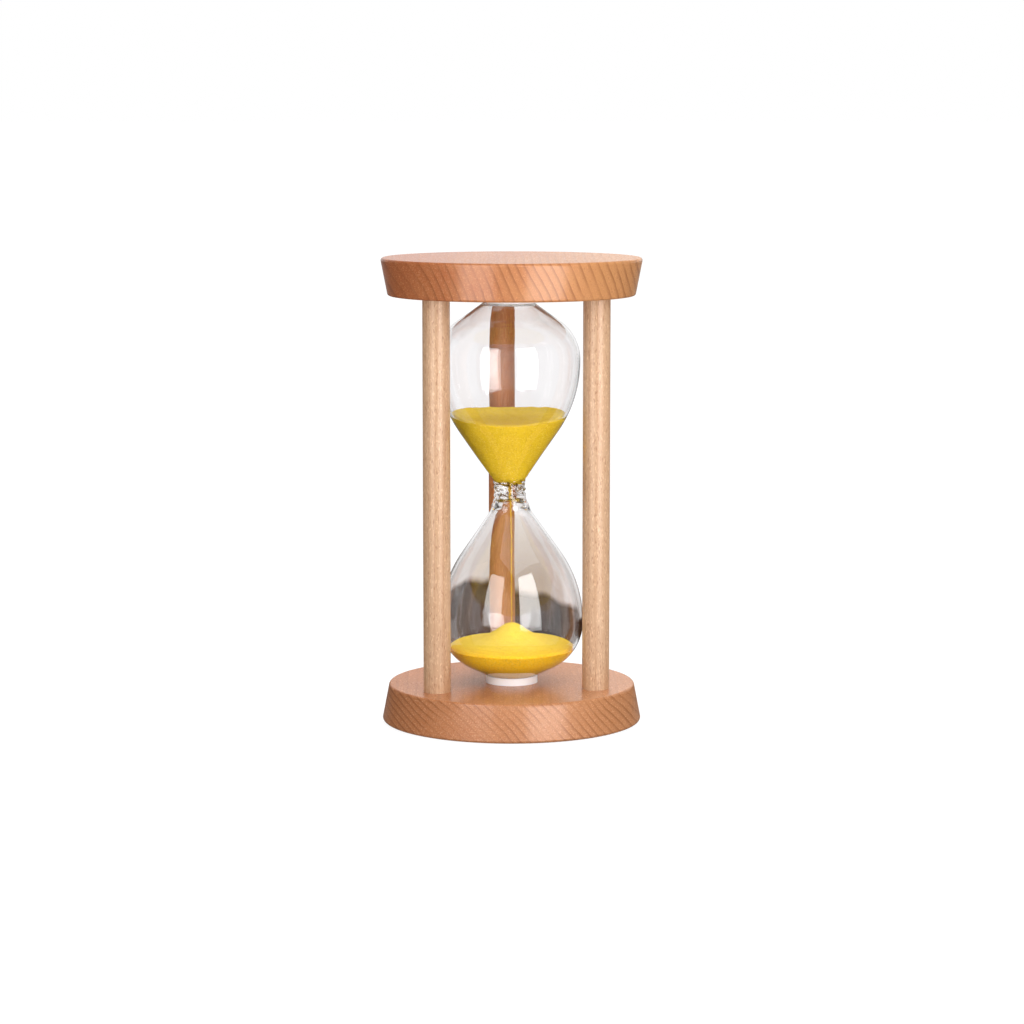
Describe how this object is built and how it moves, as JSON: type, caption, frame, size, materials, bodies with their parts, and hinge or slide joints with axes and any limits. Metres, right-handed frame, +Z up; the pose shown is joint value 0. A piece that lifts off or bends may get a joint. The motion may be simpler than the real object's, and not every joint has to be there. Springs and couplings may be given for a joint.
{
  "type": "hourglass",
  "caption": "Sand hourglass: a blown double bulb with a solid neck, seated on white pads between flared round wooden plates joined by dowel pillars.",
  "frame": {"origin": "centre of the bottom plate's underside, on the axis of the glass", "axes": "+Z up along the axis of the glass; -Y is the front, between the two front pillars; +X to the right"},
  "size_m": [0.0894, 0.0894, 0.16],
  "materials": {
    "plate_wood": "turned beech, satin lacquer",
    "pillar_wood": "beech dowel, satin lacquer",
    "clear_glass": "clear blown glass, polished",
    "white_pad": "smooth white foam plastic",
    "stopper": "moulded, matte",
    "yellow_sand": "fine dyed sand, matte"
  },
  "bodies": {
    "root": {"bottom_plate": "plate_wood", "top_plate": "plate_wood", "pillar_left": "pillar_wood", "pillar_right": "pillar_wood", "pillar_back": "pillar_wood", "glass_vessel": "clear_glass", "bottom_seat_pad": "white_pad", "top_seat_pad": "white_pad", "filling_plug": "stopper", "sand_upper": "yellow_sand", "sand_stream": "yellow_sand", "sand_lower": "yellow_sand"}
  },
  "joints": []
}
